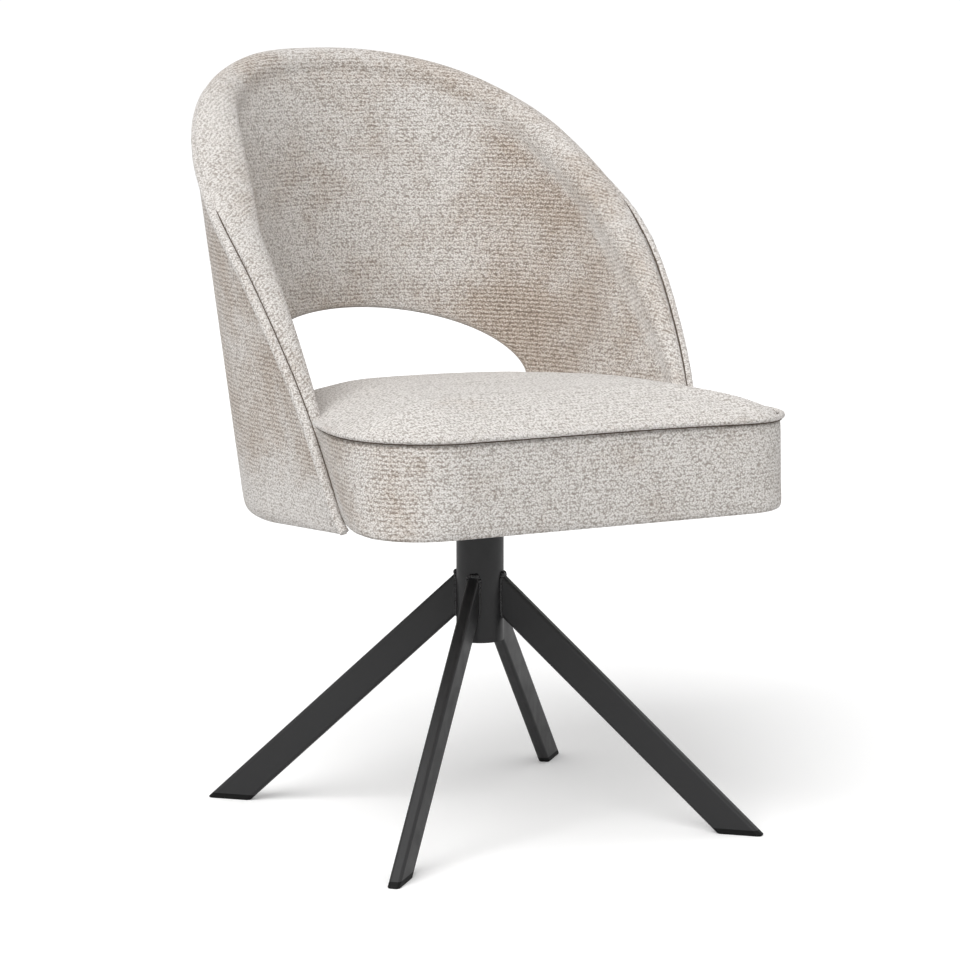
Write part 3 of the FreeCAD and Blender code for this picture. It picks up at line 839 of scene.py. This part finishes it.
def pipingTree():
    sockets = [("Radius", "NodeSocketFloat"), ("Step", "NodeSocketFloat"), ("Cloth", "NodeSocketMaterial")]
    tree, given, out = newTree("pipingAlongSeam", sockets)
    section = {"Resolution": 12, "Radius": given.outputs["Radius"]}
    circle = addNode(tree, "GeometryNodeCurvePrimitiveCircle", section)
    sweep = {"Curve": evenCurve(tree, given), "Profile Curve": circle.outputs[0], "Fill Caps": True}
    tube = addNode(tree, "GeometryNodeCurveToMesh", sweep)
    lump = addNode(tree, "ShaderNodeTexNoise", {"Scale": 220.0, "Detail": 2.0})
    normal = addNode(tree, "GeometryNodeInputNormal")
    size = addNode(tree, "ShaderNodeMapRange", {0: lump.outputs["Fac"], 3: -0.0006, 4: 0.0006})
    values = {0: normal.outputs[0], "Scale": size.outputs[0]}
    push = addNode(tree, "ShaderNodeVectorMath", values, operation="SCALE")
    values = {"Geometry": tube.outputs[0], "Offset": push.outputs[0]}
    moved = addNode(tree, "GeometryNodeSetPosition", values)
    smooth = addNode(tree, "GeometryNodeSetShadeSmooth", {0: moved.outputs[0]})
    real = addNode(tree, "GeometryNodeRealizeInstances", {0: smooth.outputs[0]})
    return finishTree(tree, out, real.outputs[0], given.outputs["Cloth"])


def beadTree():
    sockets = [("Size", "NodeSocketFloat"), ("Step", "NodeSocketFloat"), ("Metal", "NodeSocketMaterial"),
               ("Seed", "NodeSocketInt")]
    tree, given, out = newTree("beadsAlongJoint", sockets)
    ball = addNode(tree, "GeometryNodeMeshIcoSphere", {"Radius": given.outputs["Size"], "Subdivisions": 2})
    values = {2: 0.8, 3: 1.25, "Seed": given.outputs["Seed"]}
    grow = addNode(tree, "FunctionNodeRandomValue", values, data_type="FLOAT")
    values = {"Points": evenCurve(tree, given), "Instance": ball.outputs[0], "Scale": grow.outputs[1]}
    beads = addNode(tree, "GeometryNodeInstanceOnPoints", values)
    real = addNode(tree, "GeometryNodeRealizeInstances", {0: beads.outputs[0]})
    smooth = addNode(tree, "GeometryNodeSetShadeSmooth", {0: real.outputs[0]})
    return finishTree(tree, out, smooth.outputs[0], given.outputs["Metal"])


staple = {"size": (0.010, 0.0012, 0.0007), "step": 0.028, "inset": 0.031, "sink": 0.0004}


def stapleTree():
    sockets = [("Step", "NodeSocketFloat"), ("Metal", "NodeSocketMaterial")]
    tree, given, out = newTree("staplesAlongEdge", sockets)
    wire = addNode(tree, "GeometryNodeMeshCube", {"Size": staple["size"]})
    along = addNode(tree, "GeometryNodeInputTangent")
    turned = addNode(tree, "FunctionNodeAlignRotationToVector", {"Vector": along.outputs[0]}, axis="X")
    values = {"Points": evenCurve(tree, given), "Instance": wire.outputs[0], "Rotation": turned.outputs[0]}
    staples = addNode(tree, "GeometryNodeInstanceOnPoints", values)
    real = addNode(tree, "GeometryNodeRealizeInstances", {0: staples.outputs[0]})
    return finishTree(tree, out, real.outputs[0], given.outputs["Metal"])


def runTree(obj, tree, values):
    modifier = obj.modifiers.new("made", "NODES")
    modifier.node_group = tree
    named = {s.name: s.identifier for s in tree.interface.items_tree if s.in_out == "INPUT"}
    for label, value in values.items():
        modifier[named[label]] = value
    return bakeModifiers(obj)


piping = {
    "rimRadius": 0.0056, "rimOutNear": 0.0032, "rimOutRear": -0.0034,
    "rimDownNear": 0.0036, "rimDownRear": 0.0080,
    "seatRadius": 0.0034, "seatOut": 0.0014, "seatUp": 0.0028, "seatSag": 0.0022, "seatEndY": -0.070,
    "step": 0.004, "nap": 0.12, "tipSink": 0.003, "tipLift": 0.004,
    "threadRadius": 0.0009, "threadStep": 0.0025, "threadNear": 38, "threadRear": 75,
    "threadOut": 0.0008, "threadDrop": 0.0040,
}


def rimPath(turnNear=None):
    # the cord's centre line, or, when an angle round the cord is given, the stitch line beside it where the
    # painted seam shadow is laid
    points = []
    for c in range(len(columns)):
        along, outer, wall, out = rimFrame(c)
        inward = wall.normalized()
        down = along.cross(inward).normalized()
        if down.z > 0:
            down = -down
        t = seamTurn(outer.y - axisY)
        sink = piping["rimDownNear"] * (1 - t) + piping["rimDownRear"] * t
        behind = float(ramp(outer.y - axisY, 0.06, 0.18))
        beyond = piping["rimOutNear"] * (1 - behind) + piping["rimOutRear"] * behind
        point = outer + down * sink - inward * beyond
        if turnNear is not None:
            turn = math.radians(turnNear + (piping["threadRear"] - turnNear) * t)
            point += (inward * math.cos(turn) + out * math.sin(turn)) * piping["rimRadius"]
        points.append(point)
    tips = []
    for side in (-1, 1):
        x, y = planPoint(("line", 1.0, side), 0.365, 0)
        x += side * piping["rimOutNear"] * 0.5
        tips.append(Vector((x, y - piping["tipSink"] + axisY, footHeight(y) + piping["tipLift"])))
    if turnNear is None:
        points = [tips[0]] + points + [tips[1]]
    fine = []
    for k in range(len(points) - 1):
        fine.append(points[k])
        before, after = points[max(k - 1, 0)], points[min(k + 2, len(points) - 1)]
        if 0 < k < len(points) - 2:
            fine.append((points[k] + points[k + 1]) * 0.5625 - (before + after) * 0.0625)
    fine.append(points[-1])
    return fine


def seamPath(out, drop=0.0):
    end = piping["seatEndY"]
    right, left = [[p for p in halfPlan(seamZ, -out, side) if p[1] - axisY < end] for side in (1, -1)]
    up = piping["seatUp"] - drop
    sag = piping["seatSag"]
    return [(x, y, z + up - sag * float(ramp(x, 0.05, 0.22))) for x, y, z in left[:0:-1] + right]


pipes = pipingTree()
rimPiping = runTree(pathObject("rimPiping", rimPath()), pipes,
                    {"Radius": piping["rimRadius"], "Step": piping["step"], "Cloth": pipingMaterial})
seatPiping = runTree(pathObject("seatPiping", seamPath(piping["seatOut"])), pipes,
                     {"Radius": piping["seatRadius"], "Step": piping["step"], "Cloth": pipingMaterial})
# dark cords beside the rim piping and under the seat piping: painted shadow in the seam grooves
seamShadowPaths = (("rimThread", rimPath(piping["threadNear"])),
           ("seatThread", seamPath(piping["threadOut"], piping["threadDrop"])))
for name, points in seamShadowPaths:
    shadowCord = runTree(pathObject(name, points), pipes,
                     {"Radius": piping["threadRadius"], "Step": piping["threadStep"],
                      "Cloth": seamShadowMaterial})
    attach(shadowCord, "seat")
for obj, node in ((rimPiping, "back_rim_piping"), (seatPiping, "seat_piping")):
    pointAttribute(obj.data, "nap", np.full(len(obj.data.vertices), piping["nap"]))
    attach(obj, "seat")
    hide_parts(node)
print("piping sewn on")


leg = {
    "reach": 0.306, "slope": 42.9, "height": 0.036, "width": 0.014,
    "beadSize": 0.0030, "beadStep": 0.0030, "flowSize": 0.0019, "flowStep": 0.0010, "proud": 0.0003,
}


def weldPath(turn, start, stop, count):
    # the line where a flat tube meets the round column
    radius = columnHigh[0]
    slope = math.radians(leg["slope"])
    points = []
    for j in range(count + 1):
        a = start + (stop - start) * j / count
        sideways = leg["width"] / 2 * max(-1, min(1, 1.2 * math.cos(a)))
        up = leg["height"] / 2 * max(-1, min(1, 1.2 * math.sin(a)))
        out = math.sqrt(radius ** 2 - sideways ** 2) + leg["proud"]
        z = (leg["reach"] - out) * math.tan(slope) + up / math.cos(slope)
        x = out * math.cos(turn) - sideways * math.sin(turn)
        y = out * math.sin(turn) + sideways * math.cos(turn)
        points.append((x, y + axisY, z))
    return points


beads = beadTree()
for k in range(4):
    turn = math.radians(45 + 90 * k)
    for name, size, step, start, stop in (("legWeld", "beadSize", "beadStep", 0.22, 0.78),
                                          ("legFlow", "flowSize", "flowStep", 0.78, 2.22)):
        path = weldPath(turn, start * math.pi, stop * math.pi, 40)
        weld = runTree(pathObject(name + str(k + 1), path), beads,
                       {"Size": leg[size], "Step": leg[step], "Metal": weldMaterial, "Seed": 7 + k})
        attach(weld, "base")
print("welds laid")

staplePoints = seatPlan(seatBottomZ - staple["sink"], staple["inset"])
staples = runTree(pathObject("liningStaples", staplePoints, closed=True), stapleTree(),
                  {"Step": staple["step"], "Metal": zincMaterial})
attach(staples, "seat")
print("lining stapled")


# finishes on the frame's own nodes

finishes = {
    "black_steel": steelMaterial, "black_plastic": nylonMaterial, "plain_steel": zincMaterial,
    "greige_chenille": clothMaterial, "lining": liningMaterial,
}
slots = {s["node"]: s["material_slot"] for s in frame["record"]["subparts"]}
for name in frame["nodes"]:
    if slots[name] in finishes:
        nodeMaterial(name, finishes[slots[name]])
print("finishes set")


# floor, light and camera

stage = {
    "floor": 14.0, "seen": "#FFFFFF", "bounce": "#D6D6D6", "shadowLift": 0.07,
    "skySeen": 1.05, "skyLight": 0.60,
    "keySun": 2.25, "keySpread": 50.0, "keyPlace": (-2.6, -1.8, 3.3),
    "fillSun": 0.25, "fillSpread": 80.0, "fillPlace": (2.6, -1.6, 1.8),
}


def cameraRay(tree):
    return addNode(tree, "ShaderNodeLightPath").outputs["Is Camera Ray"]


def makeStage():
    half = stage["floor"] / 2
    corners = [(-half, -half, 0), (half, -half, 0), (half, half, 0), (-half, half, 0)]
    floor = meshObject("floor", corners, [(0, 1, 2, 3)])
    material, tree, shader = newMaterial("paleFloor")
    pale = mixColour(tree, cameraRay(tree), linearColour(stage["bounce"]), linearColour(stage["seen"]))
    tree.links.new(pale, shader.inputs["Base Color"])
    lift = maths(tree, "MULTIPLY", cameraRay(tree), stage["shadowLift"])
    tree.links.new(lift, shader.inputs["Emission Strength"])
    shader.inputs["Emission Color"].default_value = (1, 1, 1, 1)
    shader.inputs["Roughness"].default_value = 1.0
    shader.inputs["Specular IOR Level"].default_value = 0.0
    giveMaterial(floor, material)
    world = bpy.data.worlds.new("studio")
    bpy.context.scene.world = world
    world.use_nodes = True
    sky = world.node_tree.nodes["Background"]
    sky.inputs[0].default_value = (1, 1, 1, 1)
    values = {0: cameraRay(world.node_tree), 2: stage["skyLight"], 3: stage["skySeen"]}
    strength = addNode(world.node_tree, "ShaderNodeMix", values)
    world.node_tree.links.new(strength.outputs[0], sky.inputs[1])
    for name in ("key", "fill"):
        data = bpy.data.lights.new(name + "Sun", "SUN")
        data.angle, data.energy = math.radians(stage[name + "Spread"]), stage[name + "Sun"]
        light = bpy.data.objects.new(name + "Sun", data)
        bpy.context.scene.collection.objects.link(light)
        light.location = stage[name + "Place"]
        light.rotation_euler = (-light.location).to_track_quat("-Z", "Y").to_euler()


camera = {"focal": 3399.75, "distance": 3.8083, "height": 0.9598, "pitch": 8.51, "turn": 28.79}


def makeCamera():
    data = bpy.data.cameras.new("photoCamera")
    data.sensor_width = 36.0
    data.lens = camera["focal"] * 36.0 / 960
    obj = bpy.data.objects.new("photoCamera", data)
    bpy.context.scene.collection.objects.link(obj)
    turn, far = math.radians(camera["turn"]), camera["distance"]
    obj.location = (-far * math.sin(turn), -far * math.cos(turn) + axisY, camera["height"])
    obj.rotation_euler = (math.radians(90 - camera["pitch"]), 0, -turn)
    bpy.context.scene.camera = obj


makeStage()
makeCamera()
bpy.context.scene.view_settings.view_transform = "Standard"
print("stage set")
